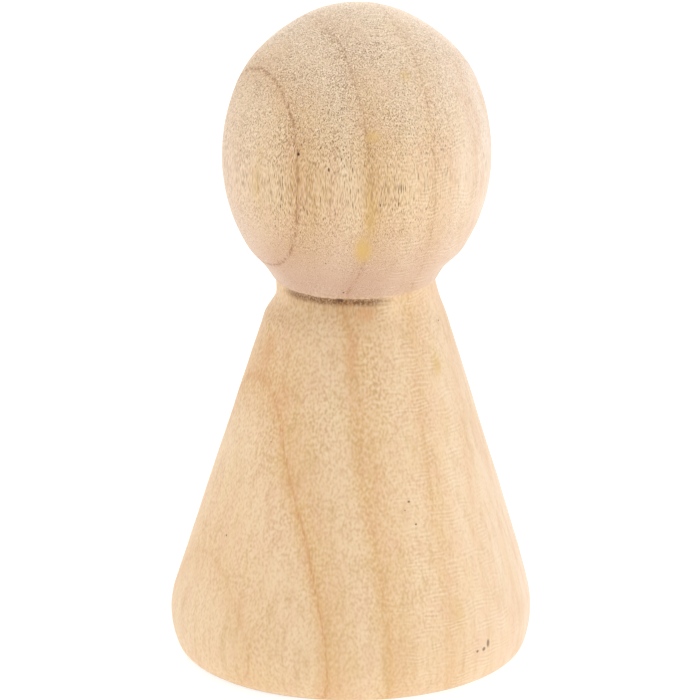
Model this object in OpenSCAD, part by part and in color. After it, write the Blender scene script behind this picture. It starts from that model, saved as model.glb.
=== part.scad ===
// Turned wooden playing figure: an oval head on a plain cone, cut from one blank.
// Z runs up the turning axis and the origin is the middle of the flat foot.

/* [Body] */
// Diameter of the body at its widest line, just above the foot
base_diameter = 32.8; // [24:0.2:44]
// Height of the neck cut above the table
body_height = 35; // [26:0.5:48]
// Diameter left at the bottom of the neck cut
neck_diameter = 14.2; // [8:0.2:20]

/* [Foot edge] */
// Height of the body's widest line above the table
edge_height = 3.8; // [3:0.1:5]
// Radius of the broad rounding that runs into the cone
edge_radius = 7; // [5:0.25:9]
// Radius of the small rounding between the broad one and the flat foot
foot_radius = 1.8; // [0.5:0.1:2.4]

/* [Head] */
// Diameter of the head at its widest line
head_diameter = 24; // [21:0.5:32]
// Height of the head, from the neck cut to the crown
head_height = 25; // [20.5:0.5:32]
// Height of the head's widest line above the neck cut
head_widest = 11.4; // [9:0.2:13]
// Direction, above level, where the side of the head turns into the crown
crown_turn = 20; // [15:1:40]

/* [Hidden] */
$fn = 180;
wood = "#E9C9A4";

// Curves that run smoothly into each other cross here by a hair instead of just touching:
// the wider one sits this much inside the other, which runs on past it by a few degrees
hair = 0.002;
run_on = 4;

// A unit vector at an angle above level
function toward(angle) = [cos(angle), sin(angle)];

// Overall height and the neck corner, as [radius, height] on the turning outline
height = body_height + head_height;
neck = [neck_diameter / 2, body_height];

// Broad rounding of the foot edge, then the small one that ends square on the table
edge_centre = [base_diameter / 2 - edge_radius, edge_height];
foot_rise = edge_height - foot_radius;
foot_reach = sqrt(pow(edge_radius - foot_radius, 2) - pow(foot_rise, 2));
foot_centre = [edge_centre.x + foot_reach, foot_radius];
foot_turn = -atan2(foot_rise, foot_reach);

// The cone is the straight cut from the neck that just touches the broad rounding
to_neck = neck - edge_centre;
cone_turn = atan2(to_neck.y, to_neck.x) - acos(edge_radius / norm(to_neck));
cone_foot = edge_centre + (edge_radius - 2 * hair) * toward(cone_turn);

// Below its widest line the head is one arc, upright there and ending in the neck
widest_height = body_height + head_widest;
head_radius = head_diameter / 2;
overhang = head_radius - neck.x;
cheek_radius = (pow(overhang, 2) + pow(head_widest, 2)) / (2 * overhang);
cheek_centre = [head_radius - cheek_radius, widest_height];
neck_turn = -atan2(head_widest, cheek_radius - overhang);

// Above it two arcs share a tangent at crown_turn: the side, then the crown
crown_rise = head_height - head_widest;
level = cos(crown_turn);
steep = sin(crown_turn);
share = level + steep - 1;
side_radius = (crown_rise * level - head_radius * (1 - steep)) / share;
side_centre = [head_radius - side_radius, widest_height];
crown_radius = (head_radius * steep - crown_rise * (1 - level)) / share;
crown_centre = [0, height - crown_radius];

// Slice of a disc between two directions
module slice(centre, radius, from, to) {
    reach = 2 * radius;
    translate(centre)
        intersection() {
            circle(r = radius);
            polygon([[0, 0], reach * toward(from), reach * toward(to)]);
        }
}

// The cone and its foot, run on up inside the head
module core() {
    slope = (neck.x - cone_foot.x) / (neck.y - cone_foot.y);
    cone_top = neck.x + slope * head_widest;
    polygon([
        [0, 0],
        [foot_centre.x, 0],
        foot_centre + [foot_radius / 2, 0],
        cone_foot,
        [cone_top, widest_height],
        [0, height - crown_radius / 2]
    ]);
}

// Half outline of the figure, from the turning axis outwards
module outline() {
    intersection() {
        square([base_diameter, height]);
        union() {
            core();
            slice(foot_centre, foot_radius, -90, foot_turn + run_on);
            slice(edge_centre, edge_radius - hair, foot_turn, cone_turn + run_on);
            slice(cheek_centre, cheek_radius, neck_turn - run_on, run_on);
            slice(side_centre, side_radius - hair, 0, crown_turn);
            slice(crown_centre, crown_radius, crown_turn - run_on, 90);
        }
    }
}

// Head and body, turned in one piece with the grain running up the axis
module turned_figure() {
    color(wood)
        rotate_extrude()
            outline();
}

turned_figure();
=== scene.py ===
"""A wooden playing figure: one turned piece with a ball head on a cone body, on a white light table."""
import math

import bmesh
import bpy
from mathutils import Matrix, Vector, noise


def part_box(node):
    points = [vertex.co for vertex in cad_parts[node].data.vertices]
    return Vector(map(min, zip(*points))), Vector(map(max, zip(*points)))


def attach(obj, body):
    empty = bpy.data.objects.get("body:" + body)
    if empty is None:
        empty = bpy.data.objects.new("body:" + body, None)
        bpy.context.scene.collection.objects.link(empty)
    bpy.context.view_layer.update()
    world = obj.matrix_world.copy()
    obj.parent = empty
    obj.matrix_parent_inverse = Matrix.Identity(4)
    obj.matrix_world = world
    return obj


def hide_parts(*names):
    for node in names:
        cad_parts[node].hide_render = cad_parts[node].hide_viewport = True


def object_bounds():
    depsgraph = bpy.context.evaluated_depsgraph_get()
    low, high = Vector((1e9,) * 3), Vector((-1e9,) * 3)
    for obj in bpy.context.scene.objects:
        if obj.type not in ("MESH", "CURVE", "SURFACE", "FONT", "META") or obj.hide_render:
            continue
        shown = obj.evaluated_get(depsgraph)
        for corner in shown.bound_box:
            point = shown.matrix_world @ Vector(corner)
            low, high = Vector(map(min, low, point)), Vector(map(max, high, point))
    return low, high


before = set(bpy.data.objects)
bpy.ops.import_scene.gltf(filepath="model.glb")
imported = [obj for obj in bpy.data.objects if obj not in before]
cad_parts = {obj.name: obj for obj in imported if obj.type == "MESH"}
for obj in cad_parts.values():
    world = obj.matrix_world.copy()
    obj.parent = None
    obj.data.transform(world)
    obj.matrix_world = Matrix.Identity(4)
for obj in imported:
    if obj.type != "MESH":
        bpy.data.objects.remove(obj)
cad_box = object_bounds()


# ---- The table, the lights and the camera --------------------------------------------------------
# The figure stands on a white opal acrylic light table, as small craft goods do on a studio bench.
# The table glows a little from below, so the figure's foot throws almost no shadow on it.

def linear(shade):
    """Turns an sRGB hex colour to the linear red, green, blue and alpha that a shader wants."""
    parts = [int(shade[i:i + 2], 16) / 255 for i in (1, 3, 5)]
    return [p / 12.92 if p <= 0.04045 else ((p + 0.055) / 1.055) ** 2.4 for p in parts] + [1.0]


def add_node(tree, kind, inputs=(), out=0, **settings):
    """Adds one node with its settings, links or fills its inputs, and gives back one of its outputs."""
    made = tree.nodes.new("ShaderNode" + kind)
    for name, value in settings.items():
        setattr(made, name, value)
    for place, value in inputs.items() if isinstance(inputs, dict) else enumerate(inputs):
        if isinstance(value, bpy.types.NodeSocket):
            tree.links.new(value, made.inputs[place])
        else:
            made.inputs[place].default_value = value
    return made.outputs[out]


def new_material(name):
    """A material with an empty node tree, and its output node."""
    made = bpy.data.materials.new(name)
    made.use_nodes = True
    made.node_tree.nodes.clear()
    return made, made.node_tree, made.node_tree.nodes.new("ShaderNodeOutputMaterial")


table_size = 3.0
table_thickness = 0.005
table_glow = 0.78

# Opal acrylic: smooth and satin, so it only gives a soft even white.
opal_acrylic, tree, surface = new_material("opal_acrylic_lit_from_below")
sheet = add_node(tree, "BsdfPrincipled", {
    "Base Color": linear("#A4A4A2"),
    "Roughness": 0.6,
    "IOR": 1.49,
    "Specular IOR Level": 0.3,
    "Emission Color": linear("#FFFFFF"),
    "Emission Strength": table_glow,
})
tree.links.new(sheet, surface.inputs["Surface"])

table_mesh = bpy.data.meshes.new("light_table")
shape = bmesh.new()
slab = Matrix.Diagonal((table_size, table_size, table_thickness, 1.0))
bmesh.ops.create_cube(shape, size=1.0, matrix=slab)
bmesh.ops.translate(shape, verts=shape.verts, vec=(0, 0, -table_thickness / 2))
shape.to_mesh(table_mesh)
shape.free()
light_table = bpy.data.objects.new("light_table", table_mesh)
light_table.data.materials.append(opal_acrylic)
bpy.context.collection.objects.link(light_table)

# A white tent all round gives the even light that leaves both edges of the figure pale.
tent = bpy.data.worlds.new("white_tent")
tent.use_nodes = True
tent.node_tree.nodes["Background"].inputs["Color"].default_value = linear("#FFFFFF")
tent.node_tree.nodes["Background"].inputs["Strength"].default_value = 0.61
bpy.context.scene.world = tent

# Soft boxes: name, place and size in metres, power in watts. All of them face the figure. The right one
# is the main light, the front one only fills, and the others lift the crown and the edges.
soft_boxes = [
    ("right_soft_box", (0.74, -0.08, 0.12), 0.50, 1.6),
    ("left_soft_box", (-0.74, 0.10, 0.20), 0.40, 0.52),
    ("back_soft_box", (0.00, 0.80, 0.30), 0.60, 2.6),
    ("top_soft_box", (-0.05, 0.05, 0.80), 0.45, 2.1),
    ("front_soft_box", (0.05, -0.85, 0.30), 0.50, 0.62),
]
middle_of_figure = (cad_box[0] + cad_box[1]) / 2
for name, place, size, power in soft_boxes:
    lamp = bpy.data.lights.new(name, "AREA")
    lamp.shape = "SQUARE"
    lamp.size = size
    lamp.energy = power
    soft_box = bpy.data.objects.new(name, lamp)
    soft_box.location = place
    soft_box.visible_camera = False
    soft_box.rotation_euler = (middle_of_figure - Vector(place)).to_track_quat("-Z", "Y").to_euler()
    bpy.context.collection.objects.link(soft_box)

# The camera looks along +Y and down at the figure from about two thirds of a metre, with a long lens.
camera_distance = 0.670
camera_elevation = math.radians(17.95)
camera_aim = Vector((-0.00036, 0, 0.0281))
lens = bpy.data.cameras.new("camera")
lens.sensor_width = 36
lens.lens = 384.5
lens.clip_start = 0.05
lens.clip_end = 20
camera = bpy.data.objects.new("camera", lens)
back = Vector((0, -math.cos(camera_elevation), math.sin(camera_elevation)))
camera.location = camera_aim + back * camera_distance
camera.rotation_euler = (math.pi / 2 - camera_elevation, 0, 0)
bpy.context.collection.objects.link(camera)
bpy.context.scene.camera = camera
bpy.context.scene.view_settings.view_transform = "Standard"


# ---- The turned figure ---------------------------------------------------------------------------
# One blank of pale close-grained hardwood, turned on its long axis: a cone body with a round edge,
# a sharp neck and a ball head. It is left bare. The grain runs up the axis, and the year rings cross
# the cone and the head in the same places, because the figure is one piece.

# Sizes are in mm. The width and the height are the frame's, rounded to a tenth because its flat facets lie
# a few thousandths inside the round, and the others are the ones that the frame was made with.
mm = 0.001
lowest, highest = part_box("turned_figure")
base_diameter = round((highest.x - lowest.x) / mm, 1)
top = round(highest.z / mm, 1)
body_height = 35.0
neck_diameter = 14.2
edge_height = 3.8
edge_radius = 7.0
foot_radius = 1.8
head_diameter = 24.0
head_widest = 11.4
crown_turn = math.radians(20)

neck_radius = neck_diameter / 2
head_radius = head_diameter / 2
head_height = top - body_height

# The round edge of the cone, and the small round under it that runs onto the flat foot.
edge_centre = (base_diameter / 2 - edge_radius, edge_height)
foot_rise = edge_height - foot_radius
foot_reach = math.sqrt((edge_radius - foot_radius) ** 2 - foot_rise ** 2)
foot_centre = (edge_centre[0] + foot_reach, foot_radius)
foot_turn = -math.atan2(foot_rise, foot_reach)
to_neck = (neck_radius - edge_centre[0], body_height - edge_centre[1])
cone_turn = math.atan2(to_neck[1], to_neck[0]) - math.acos(edge_radius / math.hypot(*to_neck))

# The head: one arc from the neck to the widest line, one above it, and a rounder one over the crown.
widest_height = body_height + head_widest
overhang = head_radius - neck_radius
cheek_radius = (overhang ** 2 + head_widest ** 2) / (2 * overhang)
neck_turn = -math.atan2(head_widest, cheek_radius - overhang)
crown_rise = head_height - head_widest
level, steep = math.cos(crown_turn), math.sin(crown_turn)
share = level + steep - 1
side_radius = (crown_rise * level - head_radius * (1 - steep)) / share
crown_radius = (head_radius * steep - crown_rise * (1 - level)) / share

arcs_below_neck = [
    (foot_centre, foot_radius, -math.pi / 2, foot_turn),
    (edge_centre, edge_radius, foot_turn, cone_turn),
]
arcs_above_neck = [
    ((head_radius - cheek_radius, widest_height), cheek_radius, neck_turn, 0.0),
    ((head_radius - side_radius, widest_height), side_radius, 0.0, crown_turn),
    ((0.0, top - crown_radius), crown_radius, crown_turn, math.pi / 2),
]
ring_step = 0.275
neck_step = 0.09
neck_zone = 0.9
segments = 320


def along_arc(centre, radius, start, end):
    """Points on an arc of the outline as (radius from the axis, height), without the last one."""
    count = max(4, round(radius * abs(end - start) / ring_step))
    turns = [start + (end - start) * i / count for i in range(count)]
    return [(centre[0] + radius * math.cos(a), centre[1] + radius * math.sin(a)) for a in turns]


def along_cone():
    """Points up the straight cone, closer together in the last millimetre under the neck."""
    start = (
        edge_centre[0] + edge_radius * math.cos(cone_turn),
        edge_centre[1] + edge_radius * math.sin(cone_turn),
    )
    length = math.hypot(neck_radius - start[0], body_height - start[1])
    coarse = round((length - neck_zone) / ring_step)
    fine = round(neck_zone / neck_step)
    steps = [(length - neck_zone) * i / coarse for i in range(coarse)]
    steps += [length - neck_zone + neck_zone * i / fine for i in range(fine)]
    run = ((neck_radius - start[0]) / length, (body_height - start[1]) / length)
    return [(start[0] + run[0] * s, start[1] + run[1] * s) for s in steps]


# The parting tool leaves faint rings under the foot, a few hundredths of a millimetre deep.
parting_pitch = 1.9
parting_depth = 0.05
flat_rim = 2.5
underside_rings = 33

underside = []
for i in range(1, underside_rings):
    radius = foot_centre[0] * i / underside_rings
    inside_rim = min(1.0, (foot_centre[0] - radius) / flat_rim)
    height = parting_depth * inside_rim * (0.5 - 0.5 * math.cos(2 * math.pi * radius / parting_pitch))
    underside.append((radius, height))
outline = underside + [p for arc in arcs_below_neck for p in along_arc(*arc)]
outline += along_cone()
for arc in arcs_above_neck:
    outline += along_arc(*arc)

# Small faults of a quick turning: the axis leans a little over the foot, the neck is cut deeper on the left
# below it and on the right above it, the edge is sanded rounder at the front right, and the crown is a
# blunt point with a shallow dip round it. A fault: its depth, and the heights where it starts and ends. The
# crown's two go by the distance from the axis instead.
axis_lean = 0.0090
lean_height = 20.0
cut_below_neck = (0.48, body_height - 3.6, body_height + 0.3)
cut_above_neck = (0.45, body_height - 0.2, body_height + 3.4)
edge_sanding = (0.34, -3.0, 10.0)
sanded_side = math.radians(-35)
crown_start = top - 10.0
crown_point = (0.16, -4.5, 4.5)
crown_dip = (0.176, 3.5, 11.0)

# The skin rises and falls in slow waves about 6 mm long and quick ones under 2 mm, given as how many go in
# a millimetre. They push it outwards, leaning up above the middle of the figure and down below it, and they
# fade away over the last 2 mm above the flat foot.
unevenness = 0.05
slow_waves = 0.16
quick_waves = 0.6
quick_share = 0.4
outward_tilt = 0.2
even_foot = 2.0


def hump(value, fault):
    """A smooth rise and fall: a fault's full depth half way from its start to its end, and 0 past them."""
    depth, start, end = fault
    way = (value - start) / (end - start)
    return depth * math.sin(math.pi * way) ** 2 if 0 < way < 1 else 0.0


def as_turned(radius, height, angle):
    """A point of the figure's surface in metres, with the faults of the tool and the sandpaper."""
    to_right = math.cos(angle)
    to_front_right = max(0.0, math.cos(angle - sanded_side))
    cut = hump(height, cut_below_neck) * (0.6 - 0.4 * to_right)
    cut += hump(height, cut_above_neck) * (0.84 + 0.16 * to_right)
    cut += hump(height, edge_sanding) * to_front_right
    cut = min(cut, radius / 2)
    rise = hump(radius, crown_point) - hump(radius, crown_dip) if height > crown_start else 0.0
    point = Vector(((radius - cut) * math.cos(angle), (radius - cut) * math.sin(angle), height + rise))
    if height > 0:
        rough = noise.noise(point * slow_waves) + quick_share * noise.noise(point * quick_waves)
        outward = Vector((point.x, point.y, (height - top / 2) * outward_tilt)).normalized()
        point += outward * unevenness * rough * min(1.0, height / even_foot)
    point.x += axis_lean * (height - lean_height)
    return point * mm


figure_mesh = bpy.data.meshes.new("turned_body_and_head")
shape = bmesh.new()
rings = []
for radius, height in outline:
    turns = [2 * math.pi * i / segments for i in range(segments)]
    rings.append([shape.verts.new(as_turned(radius, height, angle)) for angle in turns])
foot_middle = shape.verts.new(as_turned(0.0, 0.0, 0.0))
crown_middle = shape.verts.new(as_turned(0.0, top, 0.0))
for i in range(segments):
    j = (i + 1) % segments
    shape.faces.new((foot_middle, rings[0][j], rings[0][i]))
    shape.faces.new((crown_middle, rings[-1][i], rings[-1][j]))
    for low, high in zip(rings, rings[1:]):
        shape.faces.new((low[i], low[j], high[j], high[i]))
for face in shape.faces:
    face.smooth = True
shape.to_mesh(figure_mesh)
shape.free()
figure = bpy.data.objects.new("turned_body_and_head", figure_mesh)
bpy.context.collection.objects.link(figure)

# Bare hardwood off the tool: matt, a little furry, with fine upright pores and warm year-ring lines.
bare_wood, tree, surface = new_material("bare_turned_hardwood")
object_place = add_node(tree, "TexCoord", out="Object")
in_mm = add_node(tree, "VectorMath", (object_place, (1 / mm, 1 / mm, 1 / mm)), operation="MULTIPLY")
height_mm = add_node(tree, "SeparateXYZ", (in_mm,), out="Z")
above_neck = add_node(tree, "Math", (height_mm, body_height), operation="SUBTRACT")
from_axis = add_node(tree, "VectorMath", (in_mm, (1, 1, 0)), operation="MULTIPLY")
facing = add_node(tree, "VectorMath", (from_axis,), operation="NORMALIZE")
head_share = add_node(tree, "MapRange", (above_neck, -0.1, 1.2), interpolation_type="SMOOTHSTEP")
cone_share = add_node(tree, "MapRange", (above_neck, -0.1, 1.2, 1.0, 0.0), interpolation_type="SMOOTHSTEP")

# The wood's colour is built in layers over the pale early wood, each one over those before it. A layer: its
# colour, and the shares that are multiplied together to say how strongly it shows. Most shares are mapped
# ranges: a value, the two ends it comes from, and the two ends it goes to, 0 and 1 if they aren't given.
early_wood = linear("#F0D1A8")
layers = []


def uneven(pitch, height, detail=1.0, shift=0.0):
    """Random unevenness of the wood from 0 to 1, in cells of a real size in mm across and along the grain.

    The shift moves it, so that no two of these patterns lie in the same place.
    """
    scale = (1 / pitch, 1 / pitch, 1 / height)
    start = (shift, shift, shift)
    cells = add_node(tree, "VectorMath", (in_mm, scale, start), operation="MULTIPLY_ADD")
    return add_node(tree, "TexNoise", {"Vector": cells, "Scale": 1.0, "Detail": detail})


# Year rings: nearly flat sheets up through the blank, bowed by half a millimetre in the cone. Each line
# is a little ragged, because the pores break it. A ring: distance from the axis in mm, how dark its wood
# is, and how strong its thin line is on the cone and on the head. The tones reach ring_span either side.
year_rings = (
    (-14.4, 0.55, 0.30, 0.30), (-9.05, 1.0, 0.85, 1.0), (-3.7, 0.90, 0.30, 0.85), (2.2, 0.70, 0.12, 0.40),
    (6.9, 0.50, 0.15, 0.15), (10.5, 0.45, 0.10, 0.10),
)
ring_span = 20.0
ring_direction = (0.905, 0.426, 0.0)
bow_height = 21.0
bow_reach = 15.0
bow_depth = 0.5
wander_depth = 0.22
ragged_depth = 0.12
across = add_node(tree, "VectorMath", (in_mm, ring_direction), out="Value", operation="DOT_PRODUCT")
from_bow = add_node(tree, "Math", (height_mm, bow_height), operation="SUBTRACT")
from_bow = add_node(tree, "Math", (from_bow,), operation="ABSOLUTE")
bow = add_node(tree, "MapRange", (from_bow, 0.0, bow_reach, bow_depth, 0.0), interpolation_type="SMOOTHSTEP")
wander = add_node(tree, "MapRange", (uneven(6.0, 12.0), 0.2, 0.8, -wander_depth, wander_depth))
ragged = add_node(tree, "MapRange", (uneven(0.35, 1.4, 2.0, 7.0), 0.2, 0.8, -ragged_depth, ragged_depth))
ring_place = across
for shift in (bow, wander, ragged):
    ring_place = add_node(tree, "Math", (ring_place, shift), operation="ADD")
ring_place = add_node(tree, "MapRange", (ring_place, -ring_span, ring_span))


def ring_tone(build, column):
    """A tone across the blank, from how dark each ring is at some distances in mm from its line.

    The column is the place in year_rings of the strength that counts.
    """
    tone = add_node(tree, "ValToRGB", (ring_place,))
    stops = tone.node.color_ramp.elements
    stops.remove(stops[1])
    stops[0].position = 0.0
    stops[0].color = (0.0, 0.0, 0.0, 1.0)
    for ring in year_rings:
        for offset, dark in build:
            value = dark * ring[column]
            stops.new((ring[0] + offset + ring_span) / (2 * ring_span)).color = (value, value, value, 1.0)
    return tone


# Each ring darkens quickly to its thin line and pales slowly after it. On the head the line is cut across
# and looks darker. Towards the right the wood is painted paler, a painted highlight for the brighter light
# on that side, and some of the darker layers are faded there for the same light.
late_wood = ring_tone(((-2.0, 0.0), (-1.0, 0.2), (-0.2, 0.85), (0.3, 0.8), (1.2, 0.55)), 1)
cone_line = ring_tone(((-0.15, 0.0), (0.0, 1.0), (0.17, 0.0)), 2)
head_line = ring_tone(((-0.10, 0.0), (0.0, 1.0), (0.14, 0.0)), 3)
line_breaks = add_node(tree, "MapRange", (uneven(0.20, 1.3, 1.0, 3.0), 0.38, 0.60, 0.12, 0.95))
pale_lit_side = add_node(tree, "MapRange", (across, 0.5, 12.0))
less_to_the_right = add_node(tree, "MapRange", (across, -2.0, 8.0, 1.0, 0.42))
layers.append((linear("#E5B880"), (late_wood,)))
# The painted highlight: paler wood towards the right, on the cone and on the head.
layers.append((linear("#FAE9DA"), (pale_lit_side, cone_share, 0.42)))
layers.append((linear("#FBEADD"), (pale_lit_side, head_share, 0.85)))
layers.append((linear("#C99B60"), (late_wood, head_share, less_to_the_right, 0.26)))

# Broad patches two or three millimetres across, some a little yellower, some pinker; streaks of the same
# tones up the grain; and a crown that grows paler towards the top.
yellow_patches = add_node(tree, "MapRange", (uneven(2.2, 5.0, 2.0, 11.0), 0.5, 0.8))
pink_patches = add_node(tree, "MapRange", (uneven(1.8, 3.0, 2.0, 23.0), 0.5, 0.8))
olive_streaks = add_node(tree, "MapRange", (uneven(0.8, 15.0, 2.0, 71.0), 0.50, 0.75))
rosy_streaks = add_node(tree, "MapRange", (uneven(1.0, 12.0, 2.0, 83.0), 0.50, 0.75))
pale_crown = add_node(tree, "MapRange", (height_mm, crown_start, top, 0.0, 0.30))
layers.append((linear("#E9C98F"), (yellow_patches, 0.38)))
layers.append((linear("#E8B996"), (pink_patches, 0.38)))
layers.append((linear("#CFA565"), (olive_streaks, 0.34)))
layers.append((linear("#EBBE9C"), (rosy_streaks, 0.40)))
layers.append((linear("#FAEEDD"), (head_share, pale_crown)))

# Low on the head, just above the neck, painted shade makes the wood duller and pinker, less so to the right.
shade_foot = add_node(tree, "MapRange", (above_neck, 0.0, 0.4))
shade_top = add_node(tree, "MapRange", (above_neck, 10.5, 1.0), interpolation_type="SMOOTHSTEP")
layers.append((linear("#C8A292"), (shade_foot, shade_top, less_to_the_right, 0.66)))

# The left cheek of the head is painted a little paler and pinker, up to the start of the crown: a painted
# highlight for the light from the left.
cheek_direction = (-0.99, -0.10, 0.0)
cheek_side = add_node(tree, "VectorMath", (facing, cheek_direction), out="Value", operation="DOT_PRODUCT")
cheek_share = add_node(tree, "MapRange", (cheek_side, 0.72, 1.0), interpolation_type="SMOOTHSTEP")
cheek_top = add_node(tree, "MapRange", (above_neck, 20.0, 11.0), interpolation_type="SMOOTHSTEP")
layers.append((linear("#F9DCC6"), (cheek_share, cheek_top, head_share, 0.50)))

# Pores: dark upright slits 0.05 to 0.1 mm wide and up to 1 mm long, with pale fibres between them. They
# are finest and clearest on the head, where the cut goes through them. On the crown and the cone they are
# drawn 0.1 and 0.2 mm wide, coarser than real, so that they show.
head_pores = uneven(0.050, 0.50, 0.0, 5.0)
long_pores = uneven(0.065, 1.0, 0.0, 63.0)
crown_pores = uneven(0.10, 0.46, 0.0, 77.0)
cone_pores = uneven(0.22, 0.33, 0.0, 9.0)
patchy = add_node(tree, "MapRange", (uneven(3.0, 6.0, 1.0, 31.0), 0.3, 0.7, 0.75, 1.25))
more_to_the_crown = add_node(tree, "MapRange", (above_neck, 1.0, 23.0, 0.55, 1.35))
more_to_the_neck = add_node(tree, "MapRange", (above_neck, -30.0, -2.0, 0.85, 1.35))
crown_share = add_node(tree, "MapRange", (height_mm, top - 11.5, top - 2.5))
on_head = (head_share, patchy, less_to_the_right, more_to_the_crown)
on_crown = (crown_share, patchy)
on_cone = (cone_share, patchy, less_to_the_right, more_to_the_neck)
dark_slits = add_node(tree, "MapRange", (head_pores, 0.50, 0.20, 0.0, 0.66))
pale_fibres = add_node(tree, "MapRange", (head_pores, 0.50, 0.80, 0.0, 0.46))
long_slits = add_node(tree, "MapRange", (long_pores, 0.33, 0.21, 0.0, 0.85))
crown_slits = add_node(tree, "MapRange", (crown_pores, 0.50, 0.22, 0.0, 0.60))
crown_fibres = add_node(tree, "MapRange", (crown_pores, 0.50, 0.78, 0.0, 0.50))
dark_grain = add_node(tree, "MapRange", (cone_pores, 0.50, 0.20, 0.0, 0.19))
pale_grain = add_node(tree, "MapRange", (cone_pores, 0.50, 0.80, 0.0, 0.19))
layers.append((linear("#7C4A14"), (dark_slits,) + on_head))
layers.append((linear("#FFF3DF"), (pale_fibres,) + on_head))
layers.append((linear("#5F3406"), (long_slits,) + on_head))
layers.append((linear("#7C4A14"), (crown_slits,) + on_crown))
layers.append((linear("#FFF3DF"), (crown_fibres,) + on_crown))
layers.append((linear("#A0601F"), (dark_grain,) + on_cone))
layers.append((linear("#FFF3DF"), (pale_grain,) + on_cone))
layers.append((linear("#D3935A"), (cone_line, line_breaks, cone_share)))
layers.append((linear("#8C4A08"), (head_line, line_breaks, head_share, 0.80)))

# The point of the tool rubbed and tore the fibres at the neck: a brown gritty band, partly torn fibres and
# partly painted shadow in the corner under the head, darkest at the front left, with a painted brown shade
# and faint slits of torn fibres under it.
neck_front_direction = (-0.31, -0.95, 0.0)
neck_front_side = add_node(tree, "VectorMath", (facing, neck_front_direction), out="Value", operation="DOT_PRODUCT")
neck_front_share = add_node(tree, "MapRange", (neck_front_side, 0.66, 0.90), interpolation_type="SMOOTHSTEP")
band_wobble = add_node(tree, "MapRange", (uneven(0.6, 9.0, 2.0, 41.0), 0.2, 0.8, -0.10, 0.10))
band_place = add_node(tree, "Math", (above_neck, band_wobble), operation="ADD")
band_top = add_node(tree, "MapRange", (band_place, 0.22, 0.08))
band_foot = add_node(tree, "MapRange", (band_place, -0.75, -0.25), interpolation_type="SMOOTHSTEP")
grit = add_node(tree, "MapRange", (uneven(0.15, 0.20, 1.0, 43.0), 0.30, 0.62, 0.35, 1.0))
slits_top = add_node(tree, "MapRange", (above_neck, 0.0, -0.4))
slits_foot = add_node(tree, "MapRange", (above_neck, -2.1, -0.8))
short_slits = add_node(tree, "MapRange", (uneven(0.11, 0.7, 0.0, 47.0), 0.50, 0.75, 0.0, 0.30))
neck_shade_top = add_node(tree, "MapRange", (above_neck, 0.1, -0.2))
neck_shade_foot = add_node(tree, "MapRange", (above_neck, -2.8, -0.4), interpolation_type="SMOOTHSTEP")
# Painted shade under the head's overhang, below the band.
layers.append((linear("#B5854E"), (neck_shade_top, neck_shade_foot, neck_front_share, 0.42)))
# The band: torn fibres, darkened with painted shadow of the neck corner.
layers.append((linear("#6E3A04"), (band_top, band_foot, grit, neck_front_share, 0.84)))
layers.append((linear("#8A5318"), (short_slits, slits_top, slits_foot, neck_front_share)))


def on_the_surface(degrees, height):
    """A place on the figure in mm: degrees round from the front, right side positive, and its height."""
    side = outline[len(underside):]
    below = max((p for p in side if p[1] <= height), key=lambda p: p[1])
    above = min((p for p in side if p[1] > height), key=lambda p: p[1])
    way = (height - below[1]) / (above[1] - below[1])
    radius = below[0] + (above[0] - below[0]) * way
    return as_turned(radius, height, math.radians(degrees - 90)) / mm


def marked(marks, inner):
    """How strongly some oval marks show: fully up to the inner share of their size, then fading to the edge.

    A mark: its degrees round and its place's height, half its own width and height in mm, and its strength.
    """
    total = 0.0
    for degrees, height, wide, tall, strength in marks:
        middle = on_the_surface(degrees, height)
        offset = add_node(tree, "VectorMath", (in_mm, middle), operation="SUBTRACT")
        scaled = add_node(tree, "VectorMath", (offset, (1 / wide, 1 / wide, 1 / tall)), operation="MULTIPLY")
        reach = add_node(tree, "VectorMath", (scaled,), out="Value", operation="LENGTH")
        fade = (reach, inner, 1.0, strength, 0.0)
        mark = add_node(tree, "MapRange", fade, interpolation_type="SMOOTHSTEP")
        total = add_node(tree, "Math", (total, mark), operation="MAXIMUM")
    return total


# Yellow streaks along the grain, where the wood holds a little gum, and warmer orange ones on the cone.
yellow_streaks = (
    (7, 51.3, 1.0, 0.9, 0.55), (3, 40.8, 1.2, 2.7, 0.85), (6, 44.0, 1.0, 4.5, 0.42),
    (28, 56.0, 0.8, 1.0, 0.40), (53, 28.6, 0.9, 1.9, 0.55), (50, 24.0, 1.0, 4.0, 0.25),
    (38, 7.5, 1.0, 2.8, 0.35), (-48, 46.0, 1.0, 2.5, 0.30), (168, 44.0, 1.1, 3.4, 0.50),
    (-132, 20.0, 1.2, 4.5, 0.40), (120, 12.0, 1.0, 3.0, 0.35),
)
orange_streaks = (
    (7, 33.7, 1.3, 0.9, 0.45), (-2, 30.5, 1.0, 4.5, 0.35), (-62, 29.5, 1.6, 2.8, 0.50),
    (-40, 26.0, 1.3, 3.2, 0.30), (10, 20.0, 1.0, 6.0, 0.20), (-150, 28.0, 1.2, 4.0, 0.35),
    (95, 30.0, 1.0, 3.0, 0.30),
)
layers.append((linear("#DDB468"), (marked(yellow_streaks, 0.1),)))
layers.append((linear("#DFA370"), (marked(orange_streaks, 0.1),)))

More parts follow.
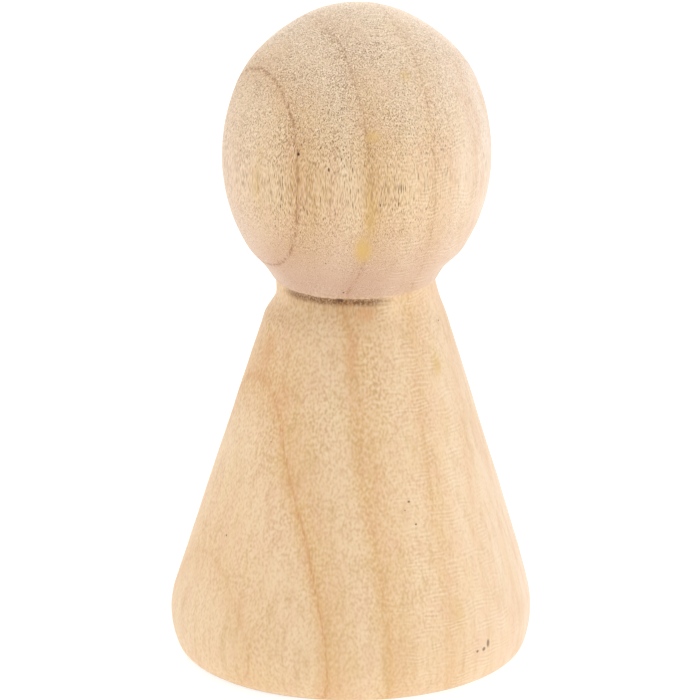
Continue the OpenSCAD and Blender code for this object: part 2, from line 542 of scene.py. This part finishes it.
# Dark pin specks of bark and tool rub, which every such figure has a few of.
dark_specks = (
    (-26, 49.5, 0.20, 0.22, 1.0), (-12, 48.4, 0.11, 0.26, 0.9), (10, 45.2, 0.09, 0.22, 0.8),
    (-8, 35.9, 0.12, 0.12, 0.9), (-11, 35.0, 0.45, 0.25, 0.8), (23, 17.7, 0.17, 0.14, 0.8),
    (25, 15.7, 0.13, 0.13, 0.8), (21, 17.0, 0.10, 0.10, 0.6), (44, 3.6, 0.20, 0.18, 0.70),
    (47, 3.6, 0.28, 0.26, 0.70), (49, 4.0, 0.25, 0.50, 0.65), (-15, 39.3, 0.09, 0.10, 0.8),
    (-55, 13.3, 0.13, 0.13, 0.7), (-42, 22.2, 0.10, 0.10, 0.5), (67, 31.9, 0.12, 0.12, 0.7),
    (28, 57.0, 0.10, 0.08, 0.6), (140, 22.0, 0.16, 0.18, 0.8), (150, 50.0, 0.14, 0.20, 0.9),
    (-120, 30.0, 0.11, 0.14, 0.8), (178, 8.0, 0.18, 0.15, 0.8), (-158, 46.0, 0.10, 0.24, 0.9),
    (108, 44.0, 0.09, 0.16, 0.8), (96, 12.0, 0.14, 0.14, 0.8), (-96, 7.0, 0.12, 0.16, 0.7),
)
layers.append((linear("#4A2000"), (marked(dark_specks, 0.4),)))

# Ray flecks: fine wavy lines about 0.36 mm apart across the grain, on the two faces cut along the rays.
# The bend, in radians of the wave, makes them wander up and down.
fleck_spacing = 0.36
most_bend = 9.0
ray_direction = (0.64, -0.77, 0.0)
ray_face = add_node(tree, "VectorMath", (facing, ray_direction), out="Value", operation="DOT_PRODUCT")
ray_face = add_node(tree, "Math", (ray_face,), operation="ABSOLUTE")
ray_share = add_node(tree, "MapRange", (ray_face, 0.86, 0.98), interpolation_type="SMOOTHSTEP")
fleck_patches = add_node(tree, "MapRange", (uneven(1.6, 1.0, 1.0, 59.0), 0.42, 0.66))
fleck_bend = add_node(tree, "MapRange", (uneven(2.4, 2.4, 1.0, 53.0), 0.0, 1.0, -most_bend, most_bend))
radians_per_mm = 2 * math.pi / fleck_spacing
fleck_wave = add_node(tree, "Math", (height_mm, radians_per_mm, fleck_bend), operation="MULTIPLY_ADD")
fleck_wave = add_node(tree, "Math", (fleck_wave,), operation="SINE")
fleck_light = add_node(tree, "MapRange", (fleck_wave, 0.0, 1.0, 0.0, 0.28))
fleck_dark = add_node(tree, "MapRange", (fleck_wave, 0.0, -1.0, 0.0, 0.14))
layers.append((linear("#F9E8CE"), (fleck_light, ray_share, fleck_patches)))
layers.append((linear("#C79F70"), (fleck_dark, ray_share, fleck_patches)))

# A painted contact shadow: the foot's edge is grey where it meets the table, mostly at the left.
contact_shadow_edge = add_node(tree, "MapRange", (height_mm, 0.40, 0.10))
distance = add_node(tree, "VectorMath", (from_axis,), out="Value", operation="LENGTH")
past_the_foot = add_node(tree, "MapRange", (distance, foot_centre[0], foot_centre[0] + 0.4))
left_direction = (-0.90, -0.44, 0.0)
left_side = add_node(tree, "VectorMath", (facing, left_direction), out="Value", operation="DOT_PRODUCT")
left_share = add_node(tree, "MapRange", (left_side, 0.3, 0.9, 0.2, 0.7))
layers.append((linear("#7D7268"), (contact_shadow_edge, past_the_foot, left_share)))

wood = early_wood
for colour, shares in layers:
    amount = shares[0]
    for share in shares[1:]:
        amount = add_node(tree, "Math", (amount, share), operation="MULTIPLY")
    wood = add_node(tree, "Mix", {0: amount, 6: wood, 7: colour}, out=2, data_type="RGBA")

# The cut leaves the surface a very little rough, so the light breaks up on it.
furry = add_node(tree, "Bump", {"Height": cone_pores, "Strength": 0.2, "Distance": 0.05 * mm})
skin = add_node(tree, "BsdfPrincipled", {
    "Base Color": wood,
    "Roughness": 0.6,
    "IOR": 1.5,
    "Specular IOR Level": 0.42,
    "Sheen Weight": 0.12,
    "Sheen Roughness": 0.5,
    "Normal": furry,
})
tree.links.new(skin, surface.inputs["Surface"])
figure.data.materials.append(bare_wood)

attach(figure, "root")
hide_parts("turned_figure")
